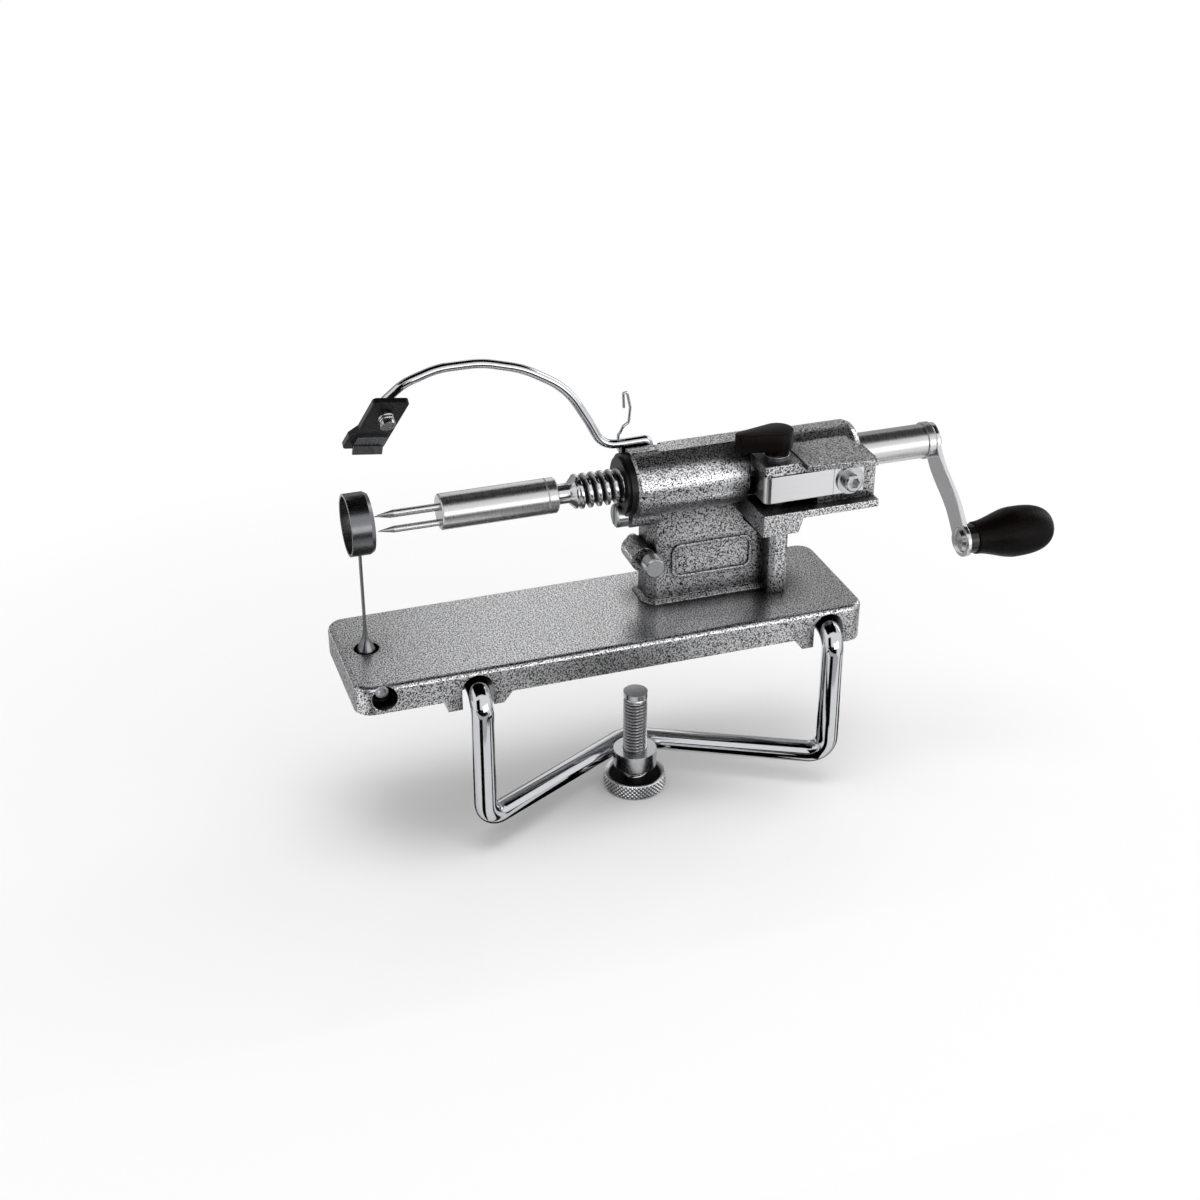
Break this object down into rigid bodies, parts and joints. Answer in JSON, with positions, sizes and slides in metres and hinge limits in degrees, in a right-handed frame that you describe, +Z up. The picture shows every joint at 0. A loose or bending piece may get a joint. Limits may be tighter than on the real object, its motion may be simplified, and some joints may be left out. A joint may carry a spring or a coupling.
{
  "type": "apple peeler",
  "caption": "Hand-cranked apple peeler: cast base and barrel, screw-fed spindle with fork and crank, spring peeling arm, slicing and coring blade, table clamp.",
  "frame": {"origin": "on the sole of the left foot, straight below the spindle axis and in the plane of the left clamp leg", "axes": "+X along the spindle towards the crank, +Y in over the table, +Z up"},
  "size_m": [0.2964, 0.0676, 0.1905],
  "materials": {
    "hammered_enamel": "hammered grey enamel on cast metal",
    "black_plastic": "black moulded plastic",
    "black_grip": "black painted grip",
    "brushed_steel": "turned stainless steel",
    "polished_steel": "polished stainless sheet",
    "chrome_rod": "chrome plated rod",
    "zinc_screw": "bright zinc plated steel",
    "spring_steel": "bright spring wire",
    "blade_steel": "ground blade steel"
  },
  "bodies": {
    "frame": {"base_plate": "hammered_enamel", "housing": "hammered_enamel", "housing_screws": "zinc_screw", "front_bush": "black_plastic", "bush_screw": "zinc_screw", "anchor_pin": "zinc_screw", "leaf_end": "polished_steel", "leaf_washer": "zinc_screw", "leaf_screw": "zinc_screw", "cam_washer": "zinc_screw", "arm_pin": "zinc_screw", "arm_spring": "spring_steel", "slicing_blade": "blade_steel", "corer_ring": "blade_steel", "blade_set_screw": "zinc_screw", "clamp_bracket": "chrome_rod", "clamp_boss": "brushed_steel"},
    "feed_carriage": {"rear_tube": "brushed_steel"},
    "spindle": {"front_tube": "brushed_steel", "feed_screw": "brushed_steel", "fork": "brushed_steel", "crank_hub": "brushed_steel", "crank_arm": "polished_steel", "crank_rivet": "zinc_screw", "handle_pin": "zinc_screw"},
    "grip": {"handle_grip": "black_grip"},
    "finger": {"feed_finger": "polished_steel"},
    "release_knob": {"cam_shaft": "brushed_steel", "cam_knob": "black_plastic"},
    "peeling_arm": {"peel_arm": "chrome_rod", "holder_cap": "zinc_screw", "holder_spring": "spring_steel"},
    "blade_head": {"blade_holder": "black_plastic", "peel_blade": "blade_steel"},
    "pressure_pad": {"clamp_pad": "zinc_screw"},
    "clamp_screw_body": {"clamp_screw": "zinc_screw", "clamp_wheel": "brushed_steel"}
  },
  "joints": [
    {"name": "feed_travel", "type": "slide", "parent": "frame", "child": "feed_carriage", "axis": [-1, 0, 0], "range_m": [-0.0752, 0.0318]},
    {"name": "crank_turn", "type": "hinge", "parent": "feed_carriage", "child": "spindle", "pos_m": [0, 0, 0.07], "axis": [-1, 0, 0], "range_deg": [-7740, 3275]},
    {"name": "grip_turn", "type": "hinge", "parent": "spindle", "child": "grip", "pos_m": [0.2107, -0.02719, 0.03643], "axis": [1, 0, 0], "continuous": true},
    {"name": "finger_lift", "type": "hinge", "parent": "frame", "child": "finger", "pos_m": [0.148, -0.02405, 0.06995], "axis": [0, 0, 1], "range_deg": [0, 4.4]},
    {"name": "release_turn", "type": "hinge", "parent": "frame", "child": "release_knob", "pos_m": [0.1273, -0.0146, 0.083], "axis": [0, 0, -1], "range_deg": [0, 90]},
    {"name": "arm_lift", "type": "hinge", "parent": "frame", "child": "peeling_arm", "pos_m": [0.0818, 0.0056, 0.0816], "axis": [0, 1, 0], "range_deg": [-8, 60], "stiffness_Nm_per_rad": 1, "springref_deg": 0.69, "deforming": ["arm_spring"]},
    {"name": "holder_swivel", "type": "hinge", "parent": "peeling_arm", "child": "blade_head", "pos_m": [-0.0223, 0.0056, 0.111], "axis": [0, 0.8018, 0.5976], "range_deg": [-25, 25], "stiffness_Nm_per_rad": 0.02},
    {"name": "pad_travel", "type": "slide", "parent": "frame", "child": "pressure_pad", "axis": [0, 0, 1], "range_m": [-0.02305, 0.0032]},
    {"name": "clamp_turn", "type": "hinge", "parent": "pressure_pad", "child": "clamp_screw_body", "pos_m": [0.071, -0.0114, 0], "axis": [0, 0, 1], "range_deg": [-5540, 775]}
  ],
  "couplings": [
    {"joint": "crank_turn", "follows": "feed_travel", "rad_per_m": 1795.2},
    {"joint": "finger_lift", "follows": "release_turn", "ratio": 0.048889},
    {"joint": "clamp_turn", "follows": "pad_travel", "rad_per_m": 4188.8}
  ]
}
